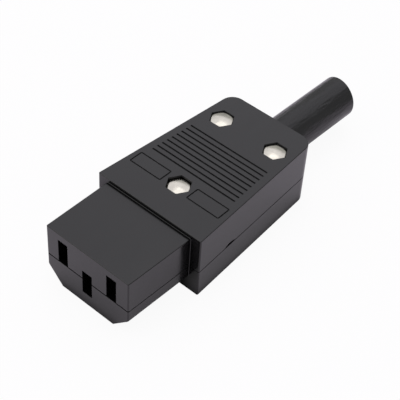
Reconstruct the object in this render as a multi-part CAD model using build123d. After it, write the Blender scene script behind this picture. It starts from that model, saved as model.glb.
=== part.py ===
"""Rewireable in-line power socket with a three-pole appliance nose.

The row frame has X across the socket, Y along it with the mating face toward -Y,
and Z up from the flat underside.  Positions along the socket are written as the
distance s behind the mating face, and y() turns them into frame coordinates.
All lengths are in millimetres.
"""
import os
from math import sqrt

from build123d import *

# Envelope
NOSE_LENGTH = 18.0
BODY_LENGTH = 41.0
BOOT_LENGTH = 26.7
NOSE_FACE_WIDTH = 23.6
NOSE_ROOT_WIDTH = 24.1
NOSE_HEIGHT = 15.4
NOSE_CHAMFER = 4.3
BODY_FRONT_WIDTH = 29.6
BODY_REAR_WIDTH = 24.0
BODY_HEIGHT = 16.4
PARTING_HEIGHT = 7.1
WALL = 1.8
FRONT_WALL = 2.0

# Mating interface
PIN_PITCH = 14.0
EARTH_DROP = 4.0
SLOT_WIDTH = 2.8
SLOT_HEIGHT = 6.5
FACE_WALL = 3.6
BLADE_THICKNESS = 2.0

# Contacts
SHEET = 0.6
CONTACT_GAP = 0.2
CHAMBER_SIDE_GAP = 0.6
RECEPTACLE_LENGTH = 10.4
LEAF_HEIGHT = 5.3
LEAF_SLIT = 0.4
LEAF_ROOT_ROOM = 0.4
LEAF_PINCH = 0.15
LEAF_FLARE = 0.6
LEAF_THROAT_SHARE = 0.22
LEAF_ROOT_SHARE = 0.68
HOLD_DOWN_LENGTH = 2.5
SEAT_DEPTH = 0.3
TERMINAL_X = 7.6
TERMINAL_S = 31.5
TAIL_LENGTH = 8.0
TAIL_WIDTH = 6.4
EARTH_TAIL_RISE = 1.8
COLLAR_HEIGHT = 1.0
COLLAR_WALL = 0.7

# Terminal screws and wire clamps
TERMINAL_THREAD = 3.0
TERMINAL_SCREW_LENGTH = 4.0
TERMINAL_HEAD = 5.4
TERMINAL_HEAD_HEIGHT = 1.8
CLAMP_PLATE = 5.8
CLAMP_SHEET = 0.7
CLAMP_LIP = 0.8

# Housing screws, nuts and pockets
HOUSING_THREAD = 2.5
HOUSING_SCREW_LENGTH = 12.0
HOUSING_HEAD = 4.8
HOUSING_HEAD_HEIGHT = 1.6
HOUSING_GRIP = 10.2
HEAD_CHAMFER = 0.25
NUT_FLATS = 5.0
NUT_HEIGHT = 3.4
NUT_CROWN = 4.6
NUT_CROWN_RISE = 0.22
NUT_CROWN_TOP = 1.8
NUT_CHAMFER_SLOPE = 0.3
FRONT_NUT_SEAT = 12.2
REAR_NUT_SEAT = 12.8
FRONT_SCREW_S = 27.4
REAR_SCREW_S = 50.4
REAR_SCREW_X = 7.8
POST_WALL = 1.3

# Cord clamp
CORD_DIAMETER = 7.4
CORD_CLAMP_S = 42.4
CORD_CLAMP_LENGTH = 6.0
CORD_CLAMP_X = 7.6
CORD_CLAMP_SEAT = 8.6
CORD_CLAMP_THICKNESS = 1.8
CORD_CLAMP_MARGIN = 0.3
CRADLE_HALF = 1.0
CORD_THREAD = 2.5
CORD_SCREW_LENGTH = 7.0

# Strain relief boot
BOOT_DIAMETER = 10.2
BOOT_BORE = 7.6
FLANGE_DIAMETER = 12.0
FLANGE_THICKNESS = 2.0
REAR_WALL = 2.4
INNER_RIB = 1.3
BOOT_RIM_CHAMFER = 0.3

# Surface details
GROOVE_COUNT = 9
GROOVE_FIRST_S = 31.9
GROOVE_PITCH = 1.465
GROOVE_WIDTH = 0.42
GROOVE_DEPTH = 0.35
GROOVE_MARGIN = 1.9
LABEL_LENGTH = 9.1
LABEL_WIDTH = 3.9
LABEL_X = 8.3
LABEL_RADIUS = 0.4
LABEL_LINE = 0.3
LABEL_DEPTH = 0.25
REAR_CORNER_RADIUS = 3.2
FRONT_CORNER_RADIUS = 0.3
EDGE_CHAMFER = 0.12
ROOT_CHAMFER = 0.1
SEAM_GAP = 0.2
FACE_SEAM_GAP = 0.3
SEAM_DEPTH = 0.4
PRY_NOTCH_S = 28.8
PRY_NOTCH_LENGTH = 4.4
PRY_NOTCH_HEIGHT = 0.75
PRY_NOTCH_DEPTH = 0.9

# Fits
FIT_GAP = 0.1
THREAD_GAP = 0.05
SCREW_CLEARANCE = 0.2
LIP_HEIGHT = 0.9
LIP_THICKNESS = 0.8
LIP_START = 1.5

# Values that follow from the ones above
TOTAL_LENGTH = NOSE_LENGTH + BODY_LENGTH + BOOT_LENGTH
BODY_FRONT_S = NOSE_LENGTH
BODY_REAR_S = NOSE_LENGTH + BODY_LENGTH
CAVITY_FRONT_S = BODY_FRONT_S + FRONT_WALL
LINE_FLOOR = PARTING_HEIGHT - SEAT_DEPTH
EARTH_SLOT_BOTTOM = PARTING_HEIGHT - EARTH_DROP
EARTH_FLOOR = EARTH_SLOT_BOTTOM - SEAT_DEPTH
ROOT_HALF_GAP = BLADE_THICKNESS / 2 + LEAF_ROOT_ROOM
THROAT_HALF_GAP = BLADE_THICKNESS / 2 - LEAF_PINCH
MOUTH_HALF_GAP = BLADE_THICKNESS / 2 + LEAF_FLARE
WEB_WIDTH = 2 * (ROOT_HALF_GAP + SHEET)
CHAMBER_WIDTH = WEB_WIDTH + 2 * CHAMBER_SIDE_GAP
CONTACT_FRONT_S = FACE_WALL + CONTACT_GAP
RECEPTACLE_REAR_S = CONTACT_FRONT_S + RECEPTACLE_LENGTH
EARTH_TAIL_FRONT_S = RECEPTACLE_REAR_S
EARTH_TERMINAL_S = EARTH_TAIL_FRONT_S + SHEET + TAIL_LENGTH / 2
EARTH_TAIL_Z = EARTH_FLOOR + EARTH_TAIL_RISE
EARTH_TAIL_REAR_S = EARTH_TERMINAL_S + TAIL_LENGTH / 2
COLLAR_RADIUS = TERMINAL_THREAD / 2 + COLLAR_WALL
BOOT_AXIS_Z = PARTING_HEIGHT
FLANGE_REAR_S = BODY_REAR_S - REAR_WALL
FLANGE_FRONT_S = FLANGE_REAR_S - FLANGE_THICKNESS
CAVITY_REAR_S = FLANGE_FRONT_S - INNER_RIB
POCKET_FLATS = NUT_FLATS + 2 * FIT_GAP
POCKET_BOSS_RADIUS = POCKET_FLATS / sqrt(3) + POST_WALL
POST_RADIUS = HOUSING_THREAD / 2 + SCREW_CLEARANCE + POST_WALL
HEAD_BORE_RADIUS = HOUSING_HEAD / 2 + SCREW_CLEARANCE
HEAD_POST_RADIUS = HEAD_BORE_RADIUS + POST_WALL
HOUSING_SITES = {
    "front": (0.0, FRONT_SCREW_S, FRONT_NUT_SEAT),
    "rear_left": (-REAR_SCREW_X, REAR_SCREW_S, REAR_NUT_SEAT),
    "rear_right": (REAR_SCREW_X, REAR_SCREW_S, REAR_NUT_SEAT),
}


def y(s):
    """Frame coordinate of a point s behind the mating face."""
    return s - TOTAL_LENGTH / 2


def half_width(s):
    """Half width of the tapering body at distance s."""
    share = (s - BODY_FRONT_S) / BODY_LENGTH
    return (BODY_FRONT_WIDTH + (BODY_REAR_WIDTH - BODY_FRONT_WIDTH) * share) / 2


def block(x0, x1, s0, s1, z0, z1):
    """Rectangular block between two opposite corners."""
    size = Box(x1 - x0, s1 - s0, z1 - z0)
    return Pos((x0 + x1) / 2, y((s0 + s1) / 2), (z0 + z1) / 2) * size


def upright(x, s, radius, z0, z1):
    """Vertical cylinder between two heights."""
    return Pos(x, y(s), (z0 + z1) / 2) * Cylinder(radius, z1 - z0)


def barrel(radius, s0, s1, z=BOOT_AXIS_Z):
    """Cylinder lying along the socket, on its centre plane."""
    lying = Rot(90, 0, 0) * Cylinder(radius, s1 - s0)
    return Pos(0, y((s0 + s1) / 2), z) * lying


def prism(points, z0, z1):
    """Plan outline of (x, s) points carried up from z0 to z1."""
    outline = Polyline(*[(x, y(s), z0) for x, s in points], close=True)
    return extrude(make_face(outline), z1 - z0, dir=(0, 0, 1))


def hexagon(x, s, flats, z0, z1):
    """Hexagonal prism with two corners on the X line."""
    face = RegularPolygon(flats / 2, 6, major_radius=False)
    return Pos(x, y(s), z0) * extrude(face, z1 - z0)


def body_prism(z0, z1, inset=0.0):
    """Tapering body block with large rear corners, its outline drawn in by the inset."""
    front, rear = half_width(BODY_FRONT_S) - inset, half_width(BODY_REAR_S) - inset
    s0, s1 = BODY_FRONT_S + inset, BODY_REAR_S - inset
    solid = prism([(-front, s0), (front, s0), (rear, s1), (-rear, s1)], z0, z1)
    rear_edges = solid.edges().filter_by(Axis.Z).sort_by(Axis.Y)[2:]
    return fillet(rear_edges, REAR_CORNER_RADIUS - inset)


def nose_prism(z0, z1, inset=0.0):
    """Nose block, running a little way into the body, its outline drawn in by the inset."""
    draft = (NOSE_ROOT_WIDTH - NOSE_FACE_WIDTH) / NOSE_LENGTH / 2
    face, root = NOSE_FACE_WIDTH / 2 - inset, NOSE_ROOT_WIDTH / 2 + draft - inset
    plan = [(-face, inset), (face, inset), (root, BODY_FRONT_S + 1), (-root, BODY_FRONT_S + 1)]
    return prism(plan, z0, z1)


def round_front(solid):
    """The block with its two front vertical corners rounded."""
    return fillet(solid.edges().filter_by(Axis.Z).sort_by(Axis.Y)[:2], FRONT_CORNER_RADIUS)


def outer_edges(solid, z, keep_from=BODY_REAR_S + 1):
    """Edges of the face at height z that lie in front of the distance keep_from."""
    level = solid.edges().filter_by_position(Axis.Z, z - 0.01, z + 0.01)
    return level.filter_by(lambda edge: edge.center().Y < y(keep_from))


def join_nose(body, nose):
    """Body and nose as one block, with a small slope in the corner round the nose."""
    blank = body + nose
    front = blank.edges().filter_by_position(Axis.Y, y(BODY_FRONT_S) - 0.01, y(BODY_FRONT_S) + 0.01)
    inner = front.filter_by(lambda edge: abs(edge.center().X) < NOSE_ROOT_WIDTH / 2 + 0.01)
    inner = inner.filter_by(lambda edge: EDGE_CHAMFER + 0.01 < edge.center().Z < NOSE_HEIGHT + 0.01)
    return chamfer(inner, ROOT_CHAMFER)


def upper_blank():
    """Outer form of the upper shell."""
    body = round_front(body_prism(PARTING_HEIGHT, BODY_HEIGHT))
    body = chamfer(outer_edges(body, BODY_HEIGHT), EDGE_CHAMFER)
    nose = round_front(nose_prism(PARTING_HEIGHT, NOSE_HEIGHT))
    nose = chamfer(outer_edges(nose, NOSE_HEIGHT, BODY_FRONT_S), EDGE_CHAMFER)
    return join_nose(body, nose)


def lower_blank():
    """Outer form of the lower shell, with the keying chamfers of the nose."""
    body = round_front(body_prism(0, PARTING_HEIGHT))
    body = chamfer(outer_edges(body, 0), EDGE_CHAMFER)
    nose = nose_prism(0, PARTING_HEIGHT)
    sides = outer_edges(nose, 0, BODY_FRONT_S).filter_by(lambda edge: abs(edge.center().X) > 1)
    nose = round_front(chamfer(sides, NOSE_CHAMFER))
    return join_nose(body, nose)


def seam_relief():
    """Shadow line round the seam, where the upper shell stands off the lower one."""
    reach = BODY_FRONT_WIDTH
    relief = block(-reach, reach, -1, BODY_REAR_S + 1, 0, PARTING_HEIGHT + SEAM_GAP)
    relief += block(-reach, reach, -1, SEAM_DEPTH, 0, PARTING_HEIGHT + FACE_SEAM_GAP)
    return relief - body_prism(0, BODY_HEIGHT, SEAM_DEPTH) - nose_prism(0, BODY_HEIGHT, SEAM_DEPTH)


def slot(x, bottom):
    """Blade slot through the front wall of the nose."""
    return block(x - SLOT_WIDTH / 2, x + SLOT_WIDTH / 2, -1, FACE_WALL + 1, bottom, bottom + SLOT_HEIGHT)


def cavity_prism(z0, z1):
    """Inner space of the body between the nose block and the boot block."""
    front, rear = half_width(CAVITY_FRONT_S) - WALL, half_width(CAVITY_REAR_S) - WALL
    plan = [(-front, CAVITY_FRONT_S), (front, CAVITY_FRONT_S), (rear, CAVITY_REAR_S), (-rear, CAVITY_REAR_S)]
    return prism(plan, z0, z1)


def boot_passage():
    """Round passage for the boot and its trapped flange, shared by both shells."""
    passage = barrel(BOOT_DIAMETER / 2 + FIT_GAP, FLANGE_FRONT_S, BODY_REAR_S + 1)
    passage += barrel(FLANGE_DIAMETER / 2 + FIT_GAP, FLANGE_FRONT_S, FLANGE_REAR_S)
    return passage + barrel(CORD_DIAMETER / 2 + 4 * FIT_GAP, CAVITY_REAR_S - 1, FLANGE_FRONT_S + 1)


def lip_bar(side, extra):
    """Locating lip along one side wall; extra widens it into its groove."""
    s0, s1 = CAVITY_FRONT_S + LIP_START - extra, REAR_SCREW_S - HEAD_POST_RADIUS + extra / 2
    inner0, inner1 = half_width(s0) - WALL, half_width(s1) - WALL
    wide = LIP_THICKNESS + extra
    plan = [(side * (inner0 - extra), s0), (side * (inner0 + wide), s0),
            (side * (inner1 + wide), s1), (side * (inner1 - extra), s1)]
    return prism(plan, PARTING_HEIGHT - 0.5, PARTING_HEIGHT + LIP_HEIGHT + extra)


def line_chamber(x):
    """Contact chamber of a line or neutral pole in the upper shell."""
    half = CHAMBER_WIDTH / 2
    return block(x - half, x + half, FACE_WALL, CAVITY_FRONT_S + 1, PARTING_HEIGHT - 1,
                 PARTING_HEIGHT + SLOT_HEIGHT)


def grip_grooves():
    """Row of shallow grooves across the grip, following the tapering sides."""
    cuts = Part()
    for index in range(GROOVE_COUNT):
        s = GROOVE_FIRST_S + index * GROOVE_PITCH
        reach = half_width(s) - GROOVE_MARGIN
        cuts += block(-reach, reach, s - GROOVE_WIDTH / 2, s + GROOVE_WIDTH / 2,
                      BODY_HEIGHT - GROOVE_DEPTH, BODY_HEIGHT + 1)
    return cuts


def label_frame(x):
    """Engraved outline of a bare marking field beside the front screw."""
    outer = RectangleRounded(LABEL_LENGTH, LABEL_WIDTH, LABEL_RADIUS)
    inner = RectangleRounded(LABEL_LENGTH - 2 * LABEL_LINE, LABEL_WIDTH - 2 * LABEL_LINE,
                             LABEL_RADIUS - LABEL_LINE)
    ring = extrude(outer - inner, LABEL_DEPTH + 1)
    return Pos(x, y(FRONT_SCREW_S), BODY_HEIGHT - LABEL_DEPTH) * ring


def pry_notch(side):
    """Small lens-shaped notch in the seam, used to part the shells."""
    radius = (PRY_NOTCH_LENGTH ** 2 / 4 + PRY_NOTCH_HEIGHT ** 2) / (2 * PRY_NOTCH_HEIGHT)
    lens = Rot(0, 90, 0) * Cylinder(radius, 2 * PRY_NOTCH_DEPTH)
    return Pos(side * half_width(PRY_NOTCH_S), y(PRY_NOTCH_S),
               PARTING_HEIGHT + PRY_NOTCH_HEIGHT - radius) * lens


def upper_shell():
    """Upper half: nose top with two blade slots, grip and nut pockets."""
    roof = BODY_HEIGHT - WALL
    shell = upper_blank() - cavity_prism(PARTING_HEIGHT - 1, roof)
    half = CHAMBER_WIDTH / 2
    for x in (-PIN_PITCH / 2, PIN_PITCH / 2):
        shell -= slot(x, PARTING_HEIGHT) + line_chamber(x)
        shell += block(x - WEB_WIDTH / 2, x + WEB_WIDTH / 2, CAVITY_FRONT_S + 1,
                       CAVITY_FRONT_S + HOLD_DOWN_LENGTH, LINE_FLOOR + SHEET + FIT_GAP, roof + 0.5)
    earth_roof = EARTH_SLOT_BOTTOM + SLOT_HEIGHT
    shell -= slot(0, EARTH_SLOT_BOTTOM)
    shell -= block(-half, half, FACE_WALL, RECEPTACLE_REAR_S, PARTING_HEIGHT - 1, earth_roof)
    tail = TAIL_WIDTH / 2 + FIT_GAP
    shell -= block(-tail, tail, RECEPTACLE_REAR_S - FIT_GAP, CAVITY_FRONT_S + 1,
                   PARTING_HEIGHT - 1, earth_roof)
    for x, s, seat in HOUSING_SITES.values():
        shell += upright(x, s, POCKET_BOSS_RADIUS, seat - POST_WALL, BODY_HEIGHT - EDGE_CHAMFER)
        shell += upright(x, s, POST_RADIUS, PARTING_HEIGHT, seat)
    for x, s, seat in HOUSING_SITES.values():
        shell -= hexagon(x, s, POCKET_FLATS, seat, BODY_HEIGHT + 1)
        shell -= upright(x, s, HOUSING_THREAD / 2 + SCREW_CLEARANCE, PARTING_HEIGHT - 1, seat + 1)
    shell -= boot_passage()
    shell -= lip_bar(-1, FIT_GAP) + lip_bar(1, FIT_GAP)
    shell -= seam_relief()
    shell -= grip_grooves()
    shell -= label_frame(-LABEL_X) + label_frame(LABEL_X)
    return shell - pry_notch(-1) - pry_notch(1)


def lower_shell():
    """Lower half: keyed nose underside, contact seats, posts and cord cradle."""
    shell = lower_blank() - cavity_prism(WALL, PARTING_HEIGHT + 1)
    web = WEB_WIDTH / 2 + FIT_GAP
    for x in (-PIN_PITCH / 2, PIN_PITCH / 2):
        shell -= block(x - web, x + web, FACE_WALL, CAVITY_FRONT_S + 1, LINE_FLOOR, PARTING_HEIGHT + 1)
    half = CHAMBER_WIDTH / 2
    tail = TAIL_WIDTH / 2 + FIT_GAP
    shell += block(-tail, tail, CAVITY_FRONT_S - 1, EARTH_TAIL_REAR_S + FIT_GAP, WALL / 2, EARTH_TAIL_Z)
    shell -= slot(0, EARTH_SLOT_BOTTOM)
    shell -= block(-half, half, FACE_WALL, RECEPTACLE_REAR_S + SHEET + FIT_GAP, EARTH_FLOOR,
                   PARTING_HEIGHT + 1)
    shell -= block(-tail, tail, RECEPTACLE_REAR_S - FIT_GAP, CAVITY_FRONT_S + 1, EARTH_TAIL_Z,
                   PARTING_HEIGHT + 1)
    bore = COLLAR_RADIUS + FIT_GAP
    shell -= upright(0, EARTH_TERMINAL_S, bore, WALL, PARTING_HEIGHT)
    for side in (-1, 1):
        x = side * TERMINAL_X
        wide = TAIL_WIDTH / 2
        shell += block(x - wide, x + wide, TERMINAL_S - TAIL_LENGTH / 2, TERMINAL_S + TAIL_LENGTH / 2,
                       WALL / 2, LINE_FLOOR)
        shell -= upright(x, TERMINAL_S, bore, WALL, LINE_FLOOR + 1)
        shell += lip_bar(side, 0)
    shell += block(-CORD_CLAMP_X, CORD_CLAMP_X, CORD_CLAMP_S - CRADLE_HALF, CORD_CLAMP_S + CRADLE_HALF,
                   WALL / 2, PARTING_HEIGHT)
    shell -= barrel(CORD_DIAMETER / 2, CORD_CLAMP_S - 2, CORD_CLAMP_S + 2)
    for side in (-1, 1):
        x = side * CORD_CLAMP_X
        shell += upright(x, CORD_CLAMP_S, CORD_THREAD / 2 + POST_WALL, WALL / 2, CORD_CLAMP_SEAT)
        shell -= upright(x, CORD_CLAMP_S, CORD_THREAD / 2 + THREAD_GAP, WALL, CORD_CLAMP_SEAT + 1)
    for x, s, seat in HOUSING_SITES.values():
        head_seat = seat - HOUSING_GRIP
        shell += upright(x, s, HEAD_POST_RADIUS, WALL / 2, head_seat + POST_WALL)
        shell += upright(x, s, POST_RADIUS, WALL / 2, PARTING_HEIGHT)
    for x, s, seat in HOUSING_SITES.values():
        shell -= upright(x, s, HEAD_BORE_RADIUS, -1, seat - HOUSING_GRIP)
        shell -= upright(x, s, HOUSING_THREAD / 2 + SCREW_CLEARANCE, -1, PARTING_HEIGHT + 1)
    return shell - boot_passage()


def cable_boot():
    """Strain relief tube with the flange that the shells trap."""
    s0, s1 = FLANGE_FRONT_S, BODY_REAR_S + BOOT_LENGTH
    tube = barrel(BOOT_DIAMETER / 2, s0, s1)
    rim = tube.edges().filter_by(GeomType.CIRCLE).sort_by(Axis.Y)[-1]
    tube = chamfer(rim, BOOT_RIM_CHAMFER)
    tube += barrel(FLANGE_DIAMETER / 2, s0, s0 + FLANGE_THICKNESS)
    return tube - barrel(BOOT_BORE / 2, s0 - 1, s1 + 1)


def spring_leaf(x, web_top, side):
    """One side leaf of a receptacle: flared mouth, narrow throat, straight root."""
    throat_s = CONTACT_FRONT_S + RECEPTACLE_LENGTH * LEAF_THROAT_SHARE
    root_s = CONTACT_FRONT_S + RECEPTACLE_LENGTH * LEAF_ROOT_SHARE
    stations = [(CONTACT_FRONT_S, MOUTH_HALF_GAP), (throat_s, THROAT_HALF_GAP),
                (root_s, ROOT_HALF_GAP), (RECEPTACLE_REAR_S, ROOT_HALF_GAP)]

    def sheet(points, bottom):
        inner = [(x + side * gap, s) for s, gap in points]
        outer = [(x + side * (gap + SHEET), s) for s, gap in reversed(points)]
        return prism(inner + outer, bottom, web_top + LEAF_HEIGHT)

    return sheet(stations, web_top + LEAF_SLIT) + sheet(stations[2:], web_top - SHEET / 2)


def tapped_tail(x, s, bottom):
    """Terminal plate with an extruded and tapped collar under it."""
    plate = block(x - TAIL_WIDTH / 2, x + TAIL_WIDTH / 2, s - TAIL_LENGTH / 2, s + TAIL_LENGTH / 2,
                  bottom, bottom + SHEET)
    plate += upright(x, s, COLLAR_RADIUS, bottom - COLLAR_HEIGHT, bottom + SHEET)
    return plate


def line_contact(side):
    """Line or neutral contact: receptacle, straight neck and terminal plate."""
    x = side * PIN_PITCH / 2
    web_top = LINE_FLOOR + SHEET
    contact = block(x - WEB_WIDTH / 2, x + WEB_WIDTH / 2, CONTACT_FRONT_S,
                    TERMINAL_S - TAIL_LENGTH / 2 + 1, LINE_FLOOR, web_top)
    contact += spring_leaf(x, web_top, -1) + spring_leaf(x, web_top, 1)
    contact += tapped_tail(side * TERMINAL_X, TERMINAL_S, LINE_FLOOR)
    return contact - upright(side * TERMINAL_X, TERMINAL_S, TERMINAL_THREAD / 2 + THREAD_GAP, 0, web_top + 1)


def earth_contact():
    """Earth contact: low receptacle with its terminal plate on a raised step."""
    web_top = EARTH_FLOOR + SHEET
    contact = block(-WEB_WIDTH / 2, WEB_WIDTH / 2, CONTACT_FRONT_S, RECEPTACLE_REAR_S + SHEET,
                    EARTH_FLOOR, web_top)
    contact += spring_leaf(0, web_top, -1) + spring_leaf(0, web_top, 1)
    contact += block(-WEB_WIDTH / 2, WEB_WIDTH / 2, RECEPTACLE_REAR_S, RECEPTACLE_REAR_S + SHEET,
                     EARTH_FLOOR, EARTH_TAIL_Z + SHEET)
    contact += tapped_tail(0, EARTH_TERMINAL_S, EARTH_TAIL_Z)
    bore = TERMINAL_THREAD / 2 + THREAD_GAP
    return contact - upright(0, EARTH_TERMINAL_S, bore, EARTH_FLOOR - COLLAR_HEIGHT, EARTH_TAIL_Z + 1)


def wire_clamp(x, s, seat):
    """Clamp plate with a turned-up lip just in front of the screw head."""
    half = CLAMP_PLATE / 2
    lip_s = s - TERMINAL_HEAD / 2 - FIT_GAP
    plate = block(x - half, x + half, lip_s - CLAMP_SHEET, s + half, seat, seat + CLAMP_SHEET)
    plate += block(x - half, x + half, lip_s - CLAMP_SHEET, lip_s, seat, seat + CLAMP_SHEET + CLAMP_LIP)
    return plate - upright(x, s, TERMINAL_THREAD / 2 + SCREW_CLEARANCE, seat - 1, seat + 3)


def pan_screw(thread, length, head, head_height):
    """Pan head screw standing on the origin, head up; its thread and drive are left plain."""
    top = Pos(0, 0, head_height / 2) * Cylinder(head / 2, head_height)
    top = chamfer(top.edges().sort_by(Axis.Z)[-1], HEAD_CHAMFER)
    return top + Pos(0, 0, -length / 2) * Cylinder(thread / 2, length)


def closed_nut(x, s, seat):
    """Closed hexagon nut, turned to a low crown inside a corner chamfer."""
    corner = NUT_FLATS / sqrt(3) + FIT_GAP
    shoulder = NUT_HEIGHT - NUT_CROWN_RISE
    profile = [(0, 0), (corner, 0), (corner, shoulder - (corner - NUT_CROWN / 2) * NUT_CHAMFER_SLOPE),
               (NUT_CROWN / 2, shoulder), (NUT_CROWN_TOP / 2, NUT_HEIGHT), (0, NUT_HEIGHT)]
    outline = Polyline(*[(radius, 0, z) for radius, z in profile], close=True)
    turned = Pos(x, y(s), seat) * revolve(make_face(outline), Axis.Z)
    nut = hexagon(x, s, NUT_FLATS, seat, seat + NUT_HEIGHT) & turned
    depth = HOUSING_SCREW_LENGTH - HOUSING_GRIP + THREAD_GAP
    return nut - upright(x, s, HOUSING_THREAD / 2 + THREAD_GAP, seat - 1, seat + depth)


def cord_clamp():
    """Bridge that presses the cord down, arched over it between two lugs."""
    reach = CORD_CLAMP_X + HOUSING_HEAD / 2 + CORD_CLAMP_MARGIN
    s0, s1 = CORD_CLAMP_S - CORD_CLAMP_LENGTH / 2, CORD_CLAMP_S + CORD_CLAMP_LENGTH / 2
    arch_radius = CORD_DIAMETER / 2 + CORD_CLAMP_THICKNESS
    bridge = block(-reach, reach, s0, s1, CORD_CLAMP_SEAT, CORD_CLAMP_SEAT + CORD_CLAMP_THICKNESS)
    bridge += barrel(arch_radius, s0, s1) & block(-reach, reach, s0, s1, CORD_CLAMP_SEAT, BODY_HEIGHT)
    bridge -= barrel(CORD_DIAMETER / 2, s0 - 1, s1 + 1)
    for side in (-1, 1):
        bridge -= upright(side * CORD_CLAMP_X, CORD_CLAMP_S, CORD_THREAD / 2 + SCREW_CLEARANCE,
                          CORD_CLAMP_SEAT - 1, BODY_HEIGHT)
    return bridge


def parts():
    """All pieces of the socket by node name."""
    pieces = {
        "upper_shell": upper_shell(),
        "lower_shell": lower_shell(),
        "cable_boot": cable_boot(),
        "line_contact": line_contact(-1),
        "neutral_contact": line_contact(1),
        "earth_contact": earth_contact(),
        "cord_clamp": cord_clamp(),
    }
    terminals = {
        "line": (-TERMINAL_X, TERMINAL_S, LINE_FLOOR + SHEET),
        "neutral": (TERMINAL_X, TERMINAL_S, LINE_FLOOR + SHEET),
        "earth": (0.0, EARTH_TERMINAL_S, EARTH_TAIL_Z + SHEET),
    }
    terminal_screw = pan_screw(TERMINAL_THREAD, TERMINAL_SCREW_LENGTH, TERMINAL_HEAD, TERMINAL_HEAD_HEIGHT)
    for name, (x, s, seat) in terminals.items():
        pieces[f"{name}_wire_clamp"] = wire_clamp(x, s, seat)
        pieces[f"{name}_terminal_screw"] = Pos(x, y(s), seat + CLAMP_SHEET) * terminal_screw
    cord_screw = pan_screw(CORD_THREAD, CORD_SCREW_LENGTH, HOUSING_HEAD, HOUSING_HEAD_HEIGHT)
    for name, side in (("left", -1), ("right", 1)):
        top = CORD_CLAMP_SEAT + CORD_CLAMP_THICKNESS
        pieces[f"cord_clamp_screw_{name}"] = Pos(side * CORD_CLAMP_X, y(CORD_CLAMP_S), top) * cord_screw
    housing_screw = Rot(180, 0, 0) * pan_screw(HOUSING_THREAD, HOUSING_SCREW_LENGTH, HOUSING_HEAD,
                                               HOUSING_HEAD_HEIGHT)
    for name, (x, s, seat) in HOUSING_SITES.items():
        pieces[f"housing_screw_{name}"] = Pos(x, y(s), seat - HOUSING_GRIP) * housing_screw
        pieces[f"housing_nut_{name}"] = closed_nut(x, s, seat)
    return pieces


os.makedirs("parts", exist_ok=True)
for node, shape in parts().items():
    shape.label = node
    export_step(shape, os.path.join("parts", node + ".step"))
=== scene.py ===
"""Dressed model of a rewireable in-line power socket in a plain studio.

The two moulded shells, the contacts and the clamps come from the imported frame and
get procedural finishes.  The strain-relief boot, the closed nuts and all the screws
are built here from their profiles and stand for their plain solids.
"""

import logging
import math
from dataclasses import dataclass, field
from enum import Enum
from typing import Callable, Iterable

import bmesh
import bpy
from mathutils import Matrix, Vector


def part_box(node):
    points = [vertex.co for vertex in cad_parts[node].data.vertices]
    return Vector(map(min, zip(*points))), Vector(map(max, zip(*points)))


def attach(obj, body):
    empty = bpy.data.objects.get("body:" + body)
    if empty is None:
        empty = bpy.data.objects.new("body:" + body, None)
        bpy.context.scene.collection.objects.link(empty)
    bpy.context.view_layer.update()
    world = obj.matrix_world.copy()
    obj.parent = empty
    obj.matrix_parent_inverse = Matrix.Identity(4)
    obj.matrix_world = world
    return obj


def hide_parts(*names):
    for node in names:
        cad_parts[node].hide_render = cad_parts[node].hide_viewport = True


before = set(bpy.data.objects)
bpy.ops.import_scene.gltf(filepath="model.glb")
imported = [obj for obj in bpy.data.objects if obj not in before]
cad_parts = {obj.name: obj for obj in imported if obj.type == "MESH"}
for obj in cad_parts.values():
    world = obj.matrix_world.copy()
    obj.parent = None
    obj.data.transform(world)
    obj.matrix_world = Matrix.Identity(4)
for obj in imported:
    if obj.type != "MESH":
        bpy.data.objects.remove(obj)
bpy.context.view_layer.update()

logging.basicConfig(level=logging.INFO, format="%(message)s")
log = logging.getLogger("in_line_power_socket")

Span = tuple[float, float]
Triple = tuple[float, float, float]
Colour = tuple[float, float, float]
Socket = bpy.types.NodeSocket

BODY = "root"
MM = 0.001
WHITE = (1.0, 1.0, 1.0, 1.0)
FULL = (0.0, 1.0)
FALLING = (1.0, 0.0)

# Sockets of a colour mix node, which share their names with its other kinds
MIX_FACTOR = 0
MIX_DARK = 6
MIX_LIGHT = 7
MIX_RESULT = 2

# Lengths are in metres and angles in degrees
PLASTIC_IOR = 1.5
PLAIN_SPECULAR = 0.5
LOOKUP_SAMPLES = 8
SMOOTH_ANGLE = 35.0
MERGE_DISTANCE = 1e-7
FINE_DISTANCE = 1e-8
RING_SLACK = 2e-6


class HeadDrive(Enum):
    """Recess of a screw head, by the turns of its blades in degrees."""

    CROSS = (0.0, 90.0)
    SLOT = (0.0,)


class Facing(Enum):
    """Way that a screw's head looks along Z."""

    UP = 1
    DOWN = -1


# Finishes


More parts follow.
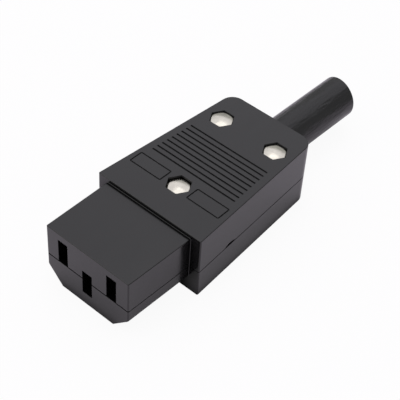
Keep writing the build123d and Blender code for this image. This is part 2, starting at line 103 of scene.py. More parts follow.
class NodeSheet:
    """Small helper that wires the node tree of one material."""

    def __init__(self, name: str) -> None:
        """Start an empty material whose surface is one Principled shader.

        Args:
            name: name of the material.
        """
        self.material = bpy.data.materials.new(name)
        self.material.use_nodes = True
        self.tree = self.material.node_tree
        self.shader = self.tree.nodes["Principled BSDF"]
        self.coordinates = self.add("ShaderNodeTexCoord").outputs["Object"]

    def add(self, kind: str, **values: object) -> bpy.types.Node:
        """Add a node and set its plain properties.

        Args:
            kind: Blender's identifier of the node type.
            **values: properties of the node by name.

        Returns:
            The new node.
        """
        node = self.tree.nodes.new(kind)
        for key, value in values.items():
            setattr(node, key, value)
        return node

    def link(self, source: Socket, target: Socket) -> None:
        """Connect one output to one input."""
        self.tree.links.new(source, target)

    def feed(self, name: str, source: Socket) -> None:
        """Connect an output to a named input of the shader."""
        self.link(source, self.shader.inputs[name])

    def fix(self, name: str, value: float) -> None:
        """Give a named input of the shader one value for the whole surface."""
        self.shader.inputs[name].default_value = value

    def noise(self, cells: float, detail: float, stretch: Triple = (1.0, 1.0, 1.0),
              roughness: float = 0.5) -> Socket:
        """Noise in metres on Object coordinates.

        Args:
            cells: cells per metre.
            detail: octaves of the noise.
            stretch: factors on the three axes, below one to draw the cells out.
            roughness: weight of the finer octaves.

        Returns:
            The noise value socket.
        """
        mapping = self.add("ShaderNodeMapping")
        mapping.inputs["Scale"].default_value = stretch
        self.link(self.coordinates, mapping.inputs["Vector"])
        node = self.add("ShaderNodeTexNoise")
        node.inputs["Scale"].default_value = cells
        node.inputs["Detail"].default_value = detail
        node.inputs["Roughness"].default_value = roughness
        self.link(mapping.outputs["Vector"], node.inputs["Vector"])
        return node.outputs["Fac"]

    def spread(self, value: Socket, result: Span = FULL, span: Span = (0.3, 0.7)) -> Socket:
        """Map a value onto a range, and hold it at the ends.

        Args:
            value: socket to map.
            result: what the start and the end of the span give.
            span: the values between which it changes.

        Returns:
            The mapped value socket.
        """
        node = self.add("ShaderNodeMapRange")
        node.inputs["From Min"].default_value = span[0]
        node.inputs["From Max"].default_value = span[1]
        node.inputs["To Min"].default_value = result[0]
        node.inputs["To Max"].default_value = result[1]
        self.link(value, node.inputs["Value"])
        return node.outputs["Result"]

    def blend(self, factor: Socket, dark: Colour | Socket, light: Colour | Socket) -> Socket:
        """Mix two colours.

        Args:
            factor: 0 gives the first colour and 1 the second.
            dark: first colour, plain or from a socket.
            light: second colour, plain or from a socket.

        Returns:
            The colour socket.
        """
        node = self.add("ShaderNodeMix", data_type="RGBA")
        for index, colour in ((MIX_DARK, dark), (MIX_LIGHT, light)):
            if isinstance(colour, Socket):
                self.link(colour, node.inputs[index])
            else:
                node.inputs[index].default_value = (*colour, 1.0)
        self.link(factor, node.inputs[MIX_FACTOR])
        return node.outputs[MIX_RESULT]

    def openness(self, reach: float) -> Socket:
        """Find how open the surroundings are, 0 in a pocket and 1 outside.

        Args:
            reach: how far away something still closes them, in metres.

        Returns:
            The openness value socket.
        """
        node = self.add("ShaderNodeAmbientOcclusion", samples=LOOKUP_SAMPLES)
        node.inputs["Distance"].default_value = reach
        return node.outputs["AO"]

    def rounded_normal(self, radius: float) -> Socket:
        """Find the normal as it would be with rounded edges.

        Args:
            radius: radius of the rounding in metres.

        Returns:
            The normal socket.
        """
        node = self.add("ShaderNodeBevel", samples=LOOKUP_SAMPLES)
        node.inputs["Radius"].default_value = radius
        return node.outputs["Normal"]

    def height(self) -> Socket:
        """Find the height of the shaded point.

        Returns:
            The height socket, in metres.
        """
        split = self.add("ShaderNodeSeparateXYZ")
        self.link(self.coordinates, split.inputs[0])
        return split.outputs["Z"]

    def combine(self, operation: str, *values: Socket) -> Socket:
        """Work out one value from several, pair by pair.

        Args:
            operation: Blender's identifier of the operation.
            *values: sockets to combine.

        Returns:
            The result socket.
        """
        total = values[0]
        for value in values[1:]:
            node = self.add("ShaderNodeMath", operation=operation)
            self.link(total, node.inputs[0])
            self.link(value, node.inputs[1])
            total = node.outputs[0]
        return total

    def relief(self, height: Socket, depth: float, share: float, edge_radius: float = 0.0) -> None:
        """Feed a bump, over softened edges, into the shader's normal.

        Args:
            height: height value socket.
            depth: height of the relief in metres.
            share: share of the relief that is used.
            edge_radius: radius of the softened edges in metres, none when zero.
        """
        bump = self.add("ShaderNodeBump")
        bump.inputs["Distance"].default_value = depth
        bump.inputs["Strength"].default_value = share
        self.link(height, bump.inputs["Height"])
        if edge_radius > 0:
            self.link(self.rounded_normal(edge_radius), bump.inputs["Normal"])
        self.feed("Normal", bump.outputs["Normal"])


@dataclass(frozen=True)
class EdgeHighlightSpecks:
    """Faint painted highlight specks on the outer edges of a moulding."""

    reach: float = 0.2 * MM
    cells: float = 1300.0
    # Painted highlight: the light pinkish grey that the specks take.
    grey: Colour = (0.075, 0.070, 0.074)
    turn_span: Span = (0.75, 0.97)
    speck_span: Span = (0.54, 0.64)
    open_span: Span = (0.80, 0.95)

    def mask(self, sheet: NodeSheet, openness: Socket) -> Socket:
        """Wire the mask of the painted highlight specks, 0 on flats and in inner corners.

        Args:
            sheet: material that gets the nodes.
            openness: openness of the surroundings.

        Returns:
            The mask value socket.
        """
        turn = sheet.add("ShaderNodeVectorMath", operation="DOT_PRODUCT")
        sheet.link(sheet.rounded_normal(self.reach), turn.inputs[0])
        sheet.link(sheet.add("ShaderNodeNewGeometry").outputs["True Normal"], turn.inputs[1])
        edge = sheet.spread(turn.outputs["Value"], FALLING, self.turn_span)
        specks = sheet.spread(sheet.noise(self.cells, detail=3.0), span=self.speck_span)
        outside = sheet.spread(openness, span=self.open_span)
        return sheet.combine("MULTIPLY", edge, specks, outside)


@dataclass(frozen=True)
class MouldedPlastic:
    """Injection-moulded thermoplastic with a fine spark-eroded grain."""

    name: str
    dark: Colour
    light: Colour
    gloss: Span
    drift_cells: float = 90.0
    flow_cells: float = 260.0
    flow_stretch: Triple = (1.0, 0.35, 1.0)
    grain_cells: float = 5200.0
    grain_depth: float = 0.012 * MM
    grain_share: float = 0.35
    edge_radius: float = 0.15 * MM
    corner_reach: float = 4.0 * MM
    # Painted shade in the reflections: the specular level falls to this value in pockets, grooves, inner
    # corners and low down by the floor.
    corner_shade_specular: float = 0.03
    corner_shade_span: Span = (0.4, 0.9)
    # Painted shade in the grooves and pockets of the top: above about 16 mm, where the surroundings close
    # in, the colour turns to this flat dark grey, which stands in for the dim light those hollows show.
    groove_shade_grey: Colour = (0.024, 0.024, 0.025)
    groove_shade_heights: Span = (15.9 * MM, 16.0 * MM)
    groove_shade_span: Span = (0.5, 0.8)
    edge_highlight: EdgeHighlightSpecks = EdgeHighlightSpecks()

    def build(self) -> bpy.types.Material:
        """Wire the tone drift, the painted shade in the groove floors and corners, the painted edge
        highlights, flow marks, grain and soft edges.

        Returns:
            The finished material.
        """
        sheet = NodeSheet(self.name)
        openness = sheet.openness(self.corner_reach)
        drift = sheet.spread(sheet.noise(self.drift_cells, detail=3.0))
        tone = sheet.blend(drift, self.dark, self.light)
        # Painted shade: the grooves and pockets of the top turn dark grey where the surroundings close in.
        below = sheet.spread(sheet.height(), FALLING, self.groove_shade_heights)
        beside = sheet.spread(openness, span=self.groove_shade_span)
        groove_shaded = sheet.blend(sheet.combine("MAXIMUM", below, beside), self.groove_shade_grey, tone)
        # Painted highlight specks along the outer edges, over the groove shade.
        sheet.feed("Base Color", sheet.blend(self.edge_highlight.mask(sheet, openness), groove_shaded, self.edge_highlight.grey))
        flow = sheet.noise(self.flow_cells, detail=4.0, stretch=self.flow_stretch)
        sheet.feed("Roughness", sheet.spread(flow, self.gloss))
        sheet.fix("IOR", PLASTIC_IOR)
        # Painted shade: reflections are cut down where the surroundings close in.
        sheet.feed("Specular IOR Level",
                   sheet.spread(openness, (self.corner_shade_specular, PLAIN_SPECULAR), self.corner_shade_span))
        grain = sheet.noise(self.grain_cells, detail=2.0)
        sheet.relief(grain, self.grain_depth, self.grain_share, self.edge_radius)
        return sheet.material


@dataclass(frozen=True)
class BootRubber:
    """Extruded-looking soft sleeve with faint lengthwise draw lines."""

    name: str
    dark: Colour
    light: Colour
    gloss: Span
    specular: float = 0.355
    bloom_cells: float = 160.0
    bloom_stretch: Triple = (1.0, 0.3, 1.0)
    line_cells: float = 420.0
    line_stretch: Triple = (1.0, 0.2, 1.0)
    line_roughness: float = 0.6
    line_depth: float = 0.6 * MM
    line_share: float = 0.6

    def build(self) -> bpy.types.Material:
        """Wire the soft bloom and the draw lines along Y.

        Returns:
            The finished material.
        """
        sheet = NodeSheet(self.name)
        bloom = sheet.noise(self.bloom_cells, detail=4.0, stretch=self.bloom_stretch)
        sheet.feed("Base Color", sheet.blend(sheet.spread(bloom), self.dark, self.light))
        sheet.feed("Roughness", sheet.spread(bloom, self.gloss))
        sheet.fix("IOR", PLASTIC_IOR)
        sheet.fix("Specular IOR Level", self.specular)
        lines = sheet.noise(self.line_cells, detail=4.0, stretch=self.line_stretch,
                            roughness=self.line_roughness)
        sheet.relief(lines, self.line_depth, self.line_share)
        return sheet.material


@dataclass(frozen=True)
class PlatedMetal:
    """Bright plating with fine random marks."""

    name: str
    dark: Colour
    light: Colour
    gloss: Span
    tone_cells: float = 420.0
    haze_cells: float = 900.0
    mark_cells: float = 2400.0
    mark_depth: float = 0.006 * MM
    mark_share: float = 0.4
    edge_radius: float = 0.06 * MM

    def build(self) -> bpy.types.Material:
        """Wire the plating tone, the haze and the small handling marks.

        Returns:
            The finished material.
        """
        sheet = NodeSheet(self.name)
        sheet.fix("Metallic", 1.0)
        tone = sheet.spread(sheet.noise(self.tone_cells, detail=4.0))
        sheet.feed("Base Color", sheet.blend(tone, self.dark, self.light))
        sheet.feed("Roughness", sheet.spread(sheet.noise(self.haze_cells, detail=3.0), self.gloss))
        marks = sheet.noise(self.mark_cells, detail=3.0)
        sheet.relief(marks, self.mark_depth, self.mark_share, self.edge_radius)
        return sheet.material


@dataclass(frozen=True)
class SheetBrass:
    """Rolled contact brass, with its rolling direction along the socket."""

    name: str
    dark: Colour
    light: Colour
    gloss: Span
    tarnish_cells: float = 300.0
    rolling_cells: float = 5200.0
    rolling_stretch: Triple = (1.0, 0.03, 1.0)
    rolling_depth: float = 0.004 * MM
    rolling_share: float = 0.3
    edge_radius: float = 0.08 * MM

    def build(self) -> bpy.types.Material:
        """Wire the rolling streaks and a slight tarnish.

        Returns:
            The finished material.
        """
        sheet = NodeSheet(self.name)
        sheet.fix("Metallic", 1.0)
        tarnish = sheet.spread(sheet.noise(self.tarnish_cells, detail=5.0))
        sheet.feed("Base Color", sheet.blend(tarnish, self.dark, self.light))
        rolling = sheet.noise(self.rolling_cells, detail=2.0, stretch=self.rolling_stretch)
        sheet.feed("Roughness", sheet.spread(rolling, self.gloss))
        sheet.relief(rolling, self.rolling_depth, self.rolling_share, self.edge_radius)
        return sheet.material


SHELL_BLACK = MouldedPlastic(
    name="moulded_black", dark=(0.0009, 0.0009, 0.0010), light=(0.0017, 0.0016, 0.0018),
    gloss=(0.15, 0.21))
CLAMP_BLACK = MouldedPlastic(
    name="clamp_black", dark=(0.016, 0.016, 0.016), light=(0.024, 0.024, 0.024), gloss=(0.45, 0.55))
BOOT_BLACK = BootRubber(
    name="boot_black", dark=(0.010, 0.010, 0.0105), light=(0.014, 0.014, 0.0145), gloss=(0.19, 0.27))
NICKEL = PlatedMetal(
    name="nickel_plate", dark=(0.505, 0.487, 0.43), light=(0.67, 0.645, 0.565), gloss=(0.14, 0.26))
BRASS = SheetBrass(
    name="contact_brass_sheet", dark=(0.62, 0.42, 0.16), light=(0.78, 0.56, 0.24), gloss=(0.24, 0.38))


# Mesh helpers


def ring_profile(points: Iterable[Span], closed: bool) -> bmesh.types.BMesh:
    """Start a mesh as a wire profile in the XZ plane.

    Args:
        points: (radius, height) pairs in metres, in order.
        closed: whether the last point joins the first.

    Returns:
        A bmesh that holds the wire.
    """
    mesh = bmesh.new()
    verts = [mesh.verts.new((radius, 0.0, height)) for radius, height in points]
    for first, second in zip(verts, verts[1:]):
        mesh.edges.new((first, second))
    if closed:
        mesh.edges.new((verts[-1], verts[0]))
    return mesh


def revolve(mesh: bmesh.types.BMesh, steps: int) -> None:
    """Spin the wire profile a full turn about Z and close its seam and poles.

    Args:
        mesh: mesh that holds the wire.
        steps: faces around the turn.
    """
    bmesh.ops.spin(mesh, geom=mesh.verts[:] + mesh.edges[:], cent=(0, 0, 0), axis=(0, 0, 1),
                   angle=math.tau, steps=steps, use_merge=True)
    bmesh.ops.remove_doubles(mesh, verts=mesh.verts[:], dist=MERGE_DISTANCE)
    bmesh.ops.recalc_face_normals(mesh, faces=mesh.faces[:])


def soften(mesh: bmesh.types.BMesh, pick: Callable[[bmesh.types.BMEdge], bool], width: float,
           segments: int) -> None:
    """Round the edges that a test picks.

    Args:
        mesh: mesh to change.
        pick: test on an edge.
        width: offset of the rounding in metres.
        segments: faces across the rounding.
    """
    edges = [edge for edge in mesh.edges if pick(edge)]
    bmesh.ops.bevel(mesh, geom=edges, offset=width, offset_type="OFFSET", segments=segments,
                    profile=0.5, affect="EDGES", material=-1, clamp_overlap=True)


def at_ring(edge: bmesh.types.BMEdge, radius: float, height: float) -> bool:
    """Tell whether both ends of an edge lie on a ring about Z.

    Args:
        edge: edge to test.
        radius: radius of the ring in metres.
        height: height of the ring in metres.

    Returns:
        True where both ends are on the ring.
    """
    return all(abs(math.hypot(vert.co.x, vert.co.y) - radius) < RING_SLACK
               and abs(vert.co.z - height) < RING_SLACK for vert in edge.verts)


def to_object(mesh: bmesh.types.BMesh, name: str, place: Matrix, material: bpy.types.Material,
              smooth_angle: float = SMOOTH_ANGLE) -> bpy.types.Object:
    """Turn a bmesh into an object whose place is in its mesh.

    Args:
        mesh: finished bmesh, which is freed.
        name: name of the piece.
        place: where the piece goes, in the row frame.
        material: finish of the piece.
        smooth_angle: largest angle, in degrees, that is shaded as smooth.

    Returns:
        The new object, linked to the scene.
    """
    bmesh.ops.transform(mesh, matrix=place, verts=mesh.verts[:])
    data = bpy.data.meshes.new(name)
    mesh.to_mesh(data)
    mesh.free()
    data.shade_smooth()
    data.set_sharp_from_angle(angle=math.radians(smooth_angle))
    data.materials.append(material)
    piece = bpy.data.objects.new(name, data)
    bpy.context.scene.collection.objects.link(piece)
    return piece


def carve(piece: bpy.types.Object, cutter: bmesh.types.BMesh, place: Matrix) -> None:
    """Cut a bmesh out of a piece and bake the result into its mesh.

    Args:
        piece: object to cut.
        cutter: closed cutter, which is freed.
        place: where the cutter goes.
    """
    tool = to_object(cutter, piece.name + "_cutter", place, piece.data.materials[0])
    modifier = piece.modifiers.new("cut", "BOOLEAN")
    modifier.operation = "DIFFERENCE"
    modifier.solver = "EXACT"
    modifier.object = tool
    graph = bpy.context.evaluated_depsgraph_get()
    cut = bpy.data.meshes.new_from_object(piece.evaluated_get(graph))
    piece.modifiers.clear()
    old = piece.data
    piece.data = cut
    cut.name = piece.name
    bpy.data.meshes.remove(old)
    bpy.data.objects.remove(tool)
    cut.set_sharp_from_angle(angle=math.radians(SMOOTH_ANGLE))


def absorb(target: bpy.types.Object, extra: bpy.types.Object) -> None:
    """Merge one object's mesh into another's and drop the first.

    Args:
        target: object that keeps both meshes.
        extra: object that is dropped.
    """
    mesh = bmesh.new()
    mesh.from_mesh(target.data)
    mesh.from_mesh(extra.data)
    mesh.to_mesh(target.data)
    mesh.free()
    bpy.data.objects.remove(extra)


def settle(piece: bpy.types.Object, node: str) -> None:
    """Let a piece stand for a CAD node and ride on the body.

    Args:
        piece: finished piece.
        node: CAD node that it stands for.
    """
    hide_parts(node)
    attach(piece, BODY)
    log.info("%s: %d faces, for %s", piece.name, len(piece.data.polygons), node)


# Sub-assemblies


@dataclass
class Housing:
    """The moulded shells with their contacts and inner clamps, carried over from the frame."""

    shells: tuple[str, ...] = ("upper_shell", "lower_shell")
    contacts: tuple[str, ...] = ("line_contact", "neutral_contact", "earth_contact")
    wire_clamps: tuple[str, ...] = ("line_wire_clamp", "neutral_wire_clamp", "earth_wire_clamp")
    cord_clamps: tuple[str, ...] = ("cord_clamp",)

    def dress(self, finishes: dict[str, bpy.types.Material]) -> None:
        """Give each carried-over node its finish.

        Args:
            finishes: built materials by their names.
        """
        groups = (
            (self.shells, SHELL_BLACK.name),
            (self.contacts, BRASS.name),
            (self.wire_clamps, NICKEL.name),
            (self.cord_clamps, CLAMP_BLACK.name),
        )
        for nodes, finish in groups:
            for node in nodes:
                self.paint(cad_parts[node], finishes[finish])
                log.info("%s: finished in %s", node, finish)

    @staticmethod
    def paint(node: bpy.types.Object, material: bpy.types.Material) -> None:
        """Put one material into every slot of a node.

        Args:
            node: object of the frame.
            material: its finish.
        """
        if not node.material_slots:
            node.data.materials.append(material)
        for slot in node.material_slots:
            slot.material = material


@dataclass
class StrainBoot:
    """Tubular boot with a trapped flange, a rounded mouth and the slight lean of soft rubber."""

    node: str = "cable_boot"
    tube_radius: float = 5.1 * MM
    bore_radius: float = 3.8 * MM
    flange_radius: float = 6.0 * MM
    flange_thickness: float = 2.0 * MM
    flange_rounding: float = 0.2 * MM
    rim_radius: float = 0.3 * MM
    mouth_radius: float = 0.2 * MM
    free_length: float = 26.7 * MM
    free_rings: int = 10
    tip_swing: float = 0.45 * MM
    tip_lift: float = 0.5 * MM
    mouth_slant: float = 0.75 * MM
    mouth_stretch: float = 0.1 * MM
    steps: int = 96
    rim_segments: int = 4
    mouth_segments: int = 3
    flange_segments: int = 2

    def section(self, length: float) -> list[Span]:
        """List the sleeve's section, with rings that let its free part lean in a smooth curve.

        Args:
            length: whole length of the sleeve in metres.

        Returns:
            (radius, height) pairs from the flange to the mouth and back along the bore.
        """
        root = length - self.free_length
        span = self.free_length - 2 * self.rim_radius
        heights = [root + span * ring / self.free_rings for ring in range(self.free_rings + 1)]
        return [
            (self.bore_radius, 0.0),
            (self.flange_radius, 0.0),
            (self.flange_radius, self.flange_thickness),
            (self.tube_radius, self.flange_thickness),
            *[(self.tube_radius, height) for height in heights],
            (self.tube_radius, length),
            (self.bore_radius, length),
            *[(self.bore_radius, height) for height in reversed(heights)],
        ]

    def lean(self, mesh: bmesh.types.BMesh, length: float) -> None:
        """Lean the free part of the sleeve and slant its mouth, as the soft boot rests.

        Args:
            mesh: sleeve that stands on its own axis.
            length: whole length of the sleeve in metres.
        """
        for vert in mesh.verts:
            share = max(0.0, 1.0 - (length - vert.co.z) / self.free_length)
            slant = self.mouth_stretch - self.mouth_slant * vert.co.x / self.tube_radius
            vert.co += Vector((self.tip_swing * share, -self.tip_lift * share, slant)) * share

    def build(self, material: bpy.types.Material) -> bpy.types.Object:
        """Spin the sleeve's section about its own axis.

        Args:
            material: finish of the boot.

        Returns:
            The boot, standing for its node.
        """
        low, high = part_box(self.node)
        length = high[1] - low[1]
        mesh = ring_profile(self.section(length), closed=True)
        revolve(mesh, self.steps)
        soften(mesh, lambda edge: at_ring(edge, self.tube_radius, length), self.rim_radius,
               self.rim_segments)
        soften(mesh, lambda edge: at_ring(edge, self.bore_radius, length), self.mouth_radius,
               self.mouth_segments)
        soften(mesh, lambda edge: at_ring(edge, self.flange_radius, 0.0)
               or at_ring(edge, self.flange_radius, self.flange_thickness), self.flange_rounding,
               self.flange_segments)
        self.lean(mesh, length)
        axis = Vector(((low[0] + high[0]) / 2, low[1], (low[2] + high[2]) / 2))
        lay = Matrix.Translation(axis) @ Matrix.Rotation(-math.pi / 2, 4, "X")
        boot = to_object(mesh, "strain_boot", lay, material)
        settle(boot, self.node)
        return boot


@dataclass
class ClosedNut:
    """Closed hexagon nut: a turned dome and chamfer, cut to six flats."""

    flats: float = 5.0 * MM
    flat_turns: tuple[float, ...] = (30.0, 90.0, 150.0, 210.0, 270.0, 330.0)
    corner_margin: float = 1.01
    dome: float = 0.35 * MM
    dome_rings: tuple[float, ...] = (0.0, 0.2, 0.4, 0.6, 0.8, 0.92, 1.0)
    crown_radius: float = 2.5 * MM
    chamfer_angle: float = 26.0
    foot_drop_share: float = 0.6
    foot_share: float = 0.47
    bore_radius: float = 1.3 * MM
    bore_depth: float = 1.85 * MM
    bore_tip: float = 0.2 * MM
    steps: int = 72
    smooth_angle: float = 25.0
    rises: dict[str, float] = field(default_factory=lambda: {
        "front": 0.55 * MM, "rear_left": 0.3 * MM, "rear_right": 0.2 * MM})

    def turned_blank(self, height: float) -> bmesh.types.BMesh:
        """Turn the round blank with dome, chamfer and blind bore.

        Args:
            height: height of the nut in metres.

        Returns:
            The blank, standing on the origin.
        """
        corner = self.flats / math.sqrt(3) * self.corner_margin
        sphere = (self.crown_radius ** 2 + self.dome ** 2) / (2 * self.dome)
        crown = [(radius, height - sphere + math.sqrt(sphere ** 2 - radius ** 2))
                 for radius in (self.crown_radius * share for share in self.dome_rings)]
        edge_drop = (corner - self.crown_radius) * math.tan(math.radians(self.chamfer_angle))
        shoulder = crown[-1][1]
        mesh = ring_profile(crown + [
            (corner, shoulder - edge_drop),
            (corner, edge_drop * self.foot_drop_share),
            (self.flats * self.foot_share, 0.0),
            (self.bore_radius, 0.0),
            (self.bore_radius, self.bore_depth),
            (0.0, self.bore_depth + self.bore_tip),
        ], closed=False)
        revolve(mesh, self.steps)
        return mesh

    def cut_flats(self, mesh: bmesh.types.BMesh) -> None:
        """Slice six flats off the blank and close each cut.

        Args:
            mesh: round blank.
        """
        for turn in (math.radians(angle) for angle in self.flat_turns):
            normal = Vector((math.cos(turn), math.sin(turn), 0.0))
            cut = bmesh.ops.bisect_plane(
                mesh, geom=mesh.verts[:] + mesh.edges[:] + mesh.faces[:], dist=FINE_DISTANCE,
                plane_co=normal * self.flats / 2, plane_no=normal, clear_outer=True)
            rim = [item for item in cut["geom_cut"] if isinstance(item, bmesh.types.BMEdge)]
            bmesh.ops.edgeloop_fill(mesh, edges=rim)
        bmesh.ops.recalc_face_normals(mesh, faces=mesh.faces[:])

    def build(self, material: bpy.types.Material) -> None:
        """Make one nut for each housing screw.

        Args:
            material: finish of the nuts.
        """
        for site, rise in self.rises.items():
            node = "housing_nut_" + site
            low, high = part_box(node)
            mesh = self.turned_blank(high[2] - low[2] + rise)
            self.cut_flats(mesh)
            place = Matrix.Translation(((low[0] + high[0]) / 2, (low[1] + high[1]) / 2, low[2]))
            nut = to_object(mesh, "closed_nut_" + site, place, material, self.smooth_angle)
            settle(nut, node)


@dataclass
class PanScrew:
    """Pan head screw with a driven recess and a rolled thread."""

    thread: float
    pitch: float
    head: float
    head_height: float
    drive: HeadDrive
    facing: Facing
    nodes: dict[str, str]
    head_arc: tuple[Span, ...] = (
        (0.0, 1.0), (0.35, 0.985), (0.62, 0.93), (0.82, 0.78), (0.95, 0.52), (1.0, 0.25), (1.0, 0.04),
        (0.98, 0.0))
    core_inset: float = 0.55
    tip_share: float = 0.75
    ridge_inset: float = 0.6
    ridge_half: float = 0.42
    crest_share: float = 0.2
    run_out: float = 1.6
    steps: int = 48
    ridge_steps: int = 24
    drive_depth: float = 0.62
    cross_size: Span = (0.56, 0.145)
    cross_taper: Span = (0.45, 0.7)
    slot_size: Span = (1.2, 0.17)
    first_turn: float = 25.0
    turn_step: float = 40.0

    def blank(self, length: float) -> bmesh.types.BMesh:
        """Turn the head and core, head up, with the seat at the origin.

        Args:
            length: length of the shank in metres.

        Returns:
            The blank.
        """
        radius = self.head / 2
        core = self.thread / 2 - self.pitch * self.core_inset
        mesh = ring_profile([
            *[(radius * across, self.head_height * up) for across, up in self.head_arc],
            (core, 0.0),
            (core, -length + self.pitch * self.ridge_inset),
            (core * self.tip_share, -length),
            (0.0, -length),
        ], closed=False)
        revolve(mesh, self.steps)
        return mesh

    def thread_ridge(self, length: float) -> bmesh.types.BMesh:
        """Wind the helical thread ridge on the core.

        Args:
            length: length of the shank in metres.

        Returns:
            The ridge, closed at both ends.
        """
        core = self.thread / 2 - self.pitch * self.ridge_inset
        crest = self.thread / 2
        half = self.pitch * self.ridge_half
        start = -self.pitch * self.ridge_inset
        turns = max(1, int((length - self.pitch * self.run_out) / self.pitch))
        steps = self.ridge_steps * turns
        mesh = ring_profile([(core, start + half), (crest, start + half * self.crest_share),
                             (crest, start - half * self.crest_share), (core, start - half)], closed=True)
        bmesh.ops.contextual_create(mesh, geom=mesh.edges[:])
        bmesh.ops.spin(mesh, geom=mesh.verts[:] + mesh.edges[:] + mesh.faces[:], cent=(0, 0, 0),
                       axis=(0, 0, 1), angle=math.tau * turns, steps=steps,
                       dvec=(0, 0, -self.pitch * turns / steps), use_duplicate=False)
        bmesh.ops.remove_doubles(mesh, verts=mesh.verts[:], dist=FINE_DISTANCE)
        bmesh.ops.recalc_face_normals(mesh, faces=mesh.faces[:])
        return mesh

    def blade(self, turn: float) -> bmesh.types.BMesh:
        """Shape the cutter of one blade of the drive.

        Args:
            turn: angle of the blade about the screw, in degrees.

        Returns:
            The cutter, at the top of the head.
        """
        crossed = self.drive is HeadDrive.CROSS
        wide, narrow = self.cross_size if crossed else self.slot_size
        depth = self.head_height * self.drive_depth
        mesh = bmesh.new()
        bmesh.ops.create_cube(mesh, size=1.0)
        if crossed:
            low = [vert for vert in mesh.verts if vert.co.z < 0]
            bmesh.ops.scale(mesh, vec=(*self.cross_taper, 1.0), verts=low)
        bmesh.ops.scale(mesh, vec=(self.head * wide, self.head * narrow, depth * 2), verts=mesh.verts[:])
        bmesh.ops.rotate(mesh, cent=(0, 0, 0), matrix=Matrix.Rotation(math.radians(turn), 3, "Z"),
                         verts=mesh.verts[:])
        bmesh.ops.translate(mesh, vec=(0, 0, self.head_height), verts=mesh.verts[:])
        return mesh

    def build(self, material: bpy.types.Material, slot: str) -> None:
        """Make every screw of this kind.

        Args:
            material: finish of the screws.
            slot: material slot of the record; not used.
        """
        for number, (node, name) in enumerate(self.nodes.items()):
            low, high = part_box(node)
            length = high[2] - low[2] - self.head_height
            seat = high[2] - self.head_height if self.facing is Facing.UP else low[2] + self.head_height
            place = Matrix.Translation(((low[0] + high[0]) / 2, (low[1] + high[1]) / 2, seat))
            if self.facing is Facing.DOWN:
                place = place @ Matrix.Rotation(math.pi, 4, "X")
            angle = math.radians(self.first_turn + self.turn_step * number)
            place = place @ Matrix.Rotation(angle, 4, "Z")
            screw = to_object(self.blank(length), name, place, material)
            for turn in self.drive.value:
                carve(screw, self.blade(turn), place)
            absorb(screw, to_object(self.thread_ridge(length), name + "_ridge", place, material))
            settle(screw, node)


# Studio


@dataclass(frozen=True)
class SoftPanel:
    """Square soft panel of light."""

    name: str
    place: Triple
    target: Triple
    size: float
    power: float
    colour: Colour

    def hang(self) -> None:
        """Hang the panel and aim it at its target."""
        data = bpy.data.lights.new(self.name, "AREA")
        data.shape = "SQUARE"
        data.size = self.size
        data.energy = self.power
        data.color = self.colour
        lamp = bpy.data.objects.new(self.name, data)
        aim = Vector(self.target) - Vector(self.place)
        turned = aim.to_track_quat("-Z", "Y").to_matrix().to_4x4()
        lamp.matrix_world = Matrix.Translation(self.place) @ turned
        bpy.context.scene.collection.objects.link(lamp)


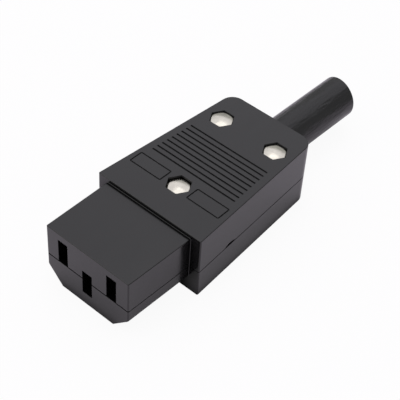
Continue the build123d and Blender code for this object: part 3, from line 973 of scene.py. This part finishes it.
@dataclass
class Studio:
    """White table, soft lights and the camera at the photograph's angle."""

    azimuth: float = 38.98
    elevation: float = 44.14
    roll: float = 4.08
    place: Triple = (0.11636, -0.15170, 0.18604)
    lens: float = 104.04
    sensor: float = 36.0
    clip: Span = (0.01, 20.0)
    world_level: float = 0.47
    floor_tone: Colour = (0.93, 0.855, 0.95)
    floor_drift: float = 0.01
    floor_cells: float = 3.0
    floor_roughness: float = 0.9
    floor_size: float = 0.6
    floor_drop: float = 0.05 * MM
    # Painted contact shadow on the floor: its colour darkens down to this level close to the socket.
    contact_shadow_reach: float = 6.0 * MM
    contact_shadow_level: float = 0.6
    contact_shadow_span: Span = (0.4, 0.9)
    camera_share: float = 0.94
    mirror_share: float = 0.20
    panels: tuple[SoftPanel, ...] = (
        SoftPanel(name="panel_top", place=(-0.42, 0.22, 0.80), target=(-0.42, 0.22, 0.0), size=1.6,
                  power=5.8, colour=(0.93, 0.905, 1.0)),
        SoftPanel(name="panel_high", place=(-0.24, 0.30, 0.79), target=(-0.24, 0.30, 0.0), size=0.34,
                  power=0.27, colour=(1.0, 0.98, 0.97)),
        SoftPanel(name="panel_left", place=(-0.45, -0.66, 0.52), target=(0.0, 0.0, 0.01), size=0.60,
                  power=1.2, colour=(1.0, 0.98, 0.96)),
    )

    def build(self) -> None:
        """Set up the view, the world, the floor, the lights and the camera."""
        bpy.context.scene.view_settings.view_transform = "Standard"
        self.make_world()
        self.make_floor()
        for panel in self.panels:
            panel.hang()
            log.info("%s: %.2f W over %.2f m", panel.name, panel.power, panel.size)
        self.make_camera()

    def make_world(self) -> None:
        """Make an even pale surround, plain white where the camera looks past the floor."""
        world = bpy.data.worlds.new("surround")
        world.use_nodes = True
        tree = world.node_tree
        light_path = tree.nodes.new("ShaderNodeLightPath")
        level = tree.nodes.new("ShaderNodeMapRange")
        level.inputs["To Min"].default_value = self.world_level
        level.inputs["To Max"].default_value = 1.0
        tree.links.new(light_path.outputs["Is Camera Ray"], level.inputs["Value"])
        tree.links.new(level.outputs["Result"], tree.nodes["Background"].inputs["Strength"])
        tree.nodes["Background"].inputs["Color"].default_value = WHITE
        bpy.context.scene.world = world

    def floor_paint(self) -> bpy.types.Material:
        """Wire a pale floor that keeps a soft shadow and a painted contact shadow near the socket, reads
        as white and is clear from below.

        Returns:
            The finished material.
        """
        sheet = NodeSheet("floor_white")
        paler = tuple(value + self.floor_drift for value in self.floor_tone)
        tone = sheet.blend(sheet.spread(sheet.noise(self.floor_cells, detail=2.0)), self.floor_tone, paler)
        # Painted contact shadow: the floor's colour darkens where the socket closes in its surroundings.
        contact = sheet.spread(sheet.openness(self.contact_shadow_reach), (self.contact_shadow_level, 1.0),
                               self.contact_shadow_span)
        shaded = sheet.add("ShaderNodeVectorMath", operation="SCALE")
        sheet.link(tone, shaded.inputs[0])
        sheet.link(contact, shaded.inputs["Scale"])
        sheet.feed("Base Color", shaded.outputs[0])
        sheet.fix("Roughness", self.floor_roughness)
        sheet.fix("Specular IOR Level", 0.0)
        light_path = sheet.add("ShaderNodeLightPath")
        seen = sheet.spread(light_path.outputs["Is Camera Ray"], (0.0, self.camera_share), FULL)
        mirrored = sheet.spread(light_path.outputs["Is Glossy Ray"], (0.0, self.mirror_share), FULL)
        glow = sheet.add("ShaderNodeEmission")
        glow.inputs["Color"].default_value = WHITE
        mix = sheet.add("ShaderNodeMixShader")
        sheet.link(sheet.combine("MAXIMUM", seen, mirrored), mix.inputs[0])
        sheet.link(sheet.shader.outputs[0], mix.inputs[1])
        sheet.link(glow.outputs[0], mix.inputs[2])
        one_sided = sheet.add("ShaderNodeMixShader")
        sheet.link(sheet.add("ShaderNodeNewGeometry").outputs["Backfacing"], one_sided.inputs[0])
        sheet.link(mix.outputs[0], one_sided.inputs[1])
        sheet.link(sheet.add("ShaderNodeBsdfTransparent").outputs[0], one_sided.inputs[2])
        sheet.link(one_sided.outputs[0], sheet.tree.nodes["Material Output"].inputs["Surface"])
        return sheet.material

    def make_floor(self) -> None:
        """Lay the floor just under the socket."""
        mesh = bmesh.new()
        bmesh.ops.create_grid(mesh, x_segments=1, y_segments=1, size=self.floor_size / 2)
        floor = to_object(mesh, "floor", Matrix.Translation((0, 0, -self.floor_drop)), self.floor_paint())
        log.info("floor: %.1f m square", self.floor_size)

    def make_camera(self) -> None:
        """Put the camera where the photograph was taken from."""
        turn, rise, tilt = (math.radians(value) for value in (self.azimuth, self.elevation, self.roll))
        back = Vector((math.sin(turn) * math.cos(rise), -math.cos(turn) * math.cos(rise), math.sin(rise)))
        level_right = Vector((math.cos(turn), math.sin(turn), 0.0))
        level_up = back.cross(level_right)
        right = level_right * math.cos(tilt) + level_up * math.sin(tilt)
        up = back.cross(right)
        data = bpy.data.cameras.new("camera")
        data.lens = self.lens
        data.sensor_width = self.sensor
        data.clip_start, data.clip_end = self.clip
        camera = bpy.data.objects.new("camera", data)
        turned = Matrix((right, up, back)).transposed().to_4x4()
        camera.matrix_world = Matrix.Translation(self.place) @ turned
        bpy.context.scene.collection.objects.link(camera)
        bpy.context.scene.camera = camera
        log.info("camera: azimuth %.1f, elevation %.1f", self.azimuth, self.elevation)


def main() -> None:
    """Dress the socket, set up the studio and note the sizes."""
    finishes = {finish.name: finish.build()
                for finish in (SHELL_BLACK, CLAMP_BLACK, BOOT_BLACK, NICKEL, BRASS)}
    nickel = finishes[NICKEL.name]
    Housing().dress(finishes)
    StrainBoot().build(finishes[BOOT_BLACK.name])
    ClosedNut().build(nickel)
    housing_screws = PanScrew(
        thread=2.5 * MM, pitch=0.45 * MM, head=4.8 * MM, head_height=1.6 * MM,
        drive=HeadDrive.CROSS, facing=Facing.DOWN, nodes={
            "housing_screw_front": "housing_screw_a",
            "housing_screw_rear_left": "housing_screw_b",
            "housing_screw_rear_right": "housing_screw_c",
        })
    terminal_screws = PanScrew(
        thread=3.0 * MM, pitch=0.5 * MM, head=5.4 * MM, head_height=1.8 * MM,
        drive=HeadDrive.SLOT, facing=Facing.UP, nodes={
            "line_terminal_screw": "terminal_screw_line",
            "neutral_terminal_screw": "terminal_screw_neutral",
            "earth_terminal_screw": "terminal_screw_earth",
        })
    clamp_screws = PanScrew(
        thread=2.5 * MM, pitch=0.9 * MM, head=4.8 * MM, head_height=1.6 * MM,
        drive=HeadDrive.CROSS, facing=Facing.UP, nodes={
            "cord_clamp_screw_left": "clamp_screw_left",
            "cord_clamp_screw_right": "clamp_screw_right",
        })
    for screws in (housing_screws, terminal_screws, clamp_screws):
        screws.build(nickel, "plated_steel")
    Studio().build()


if __name__ == "__main__":
    main()
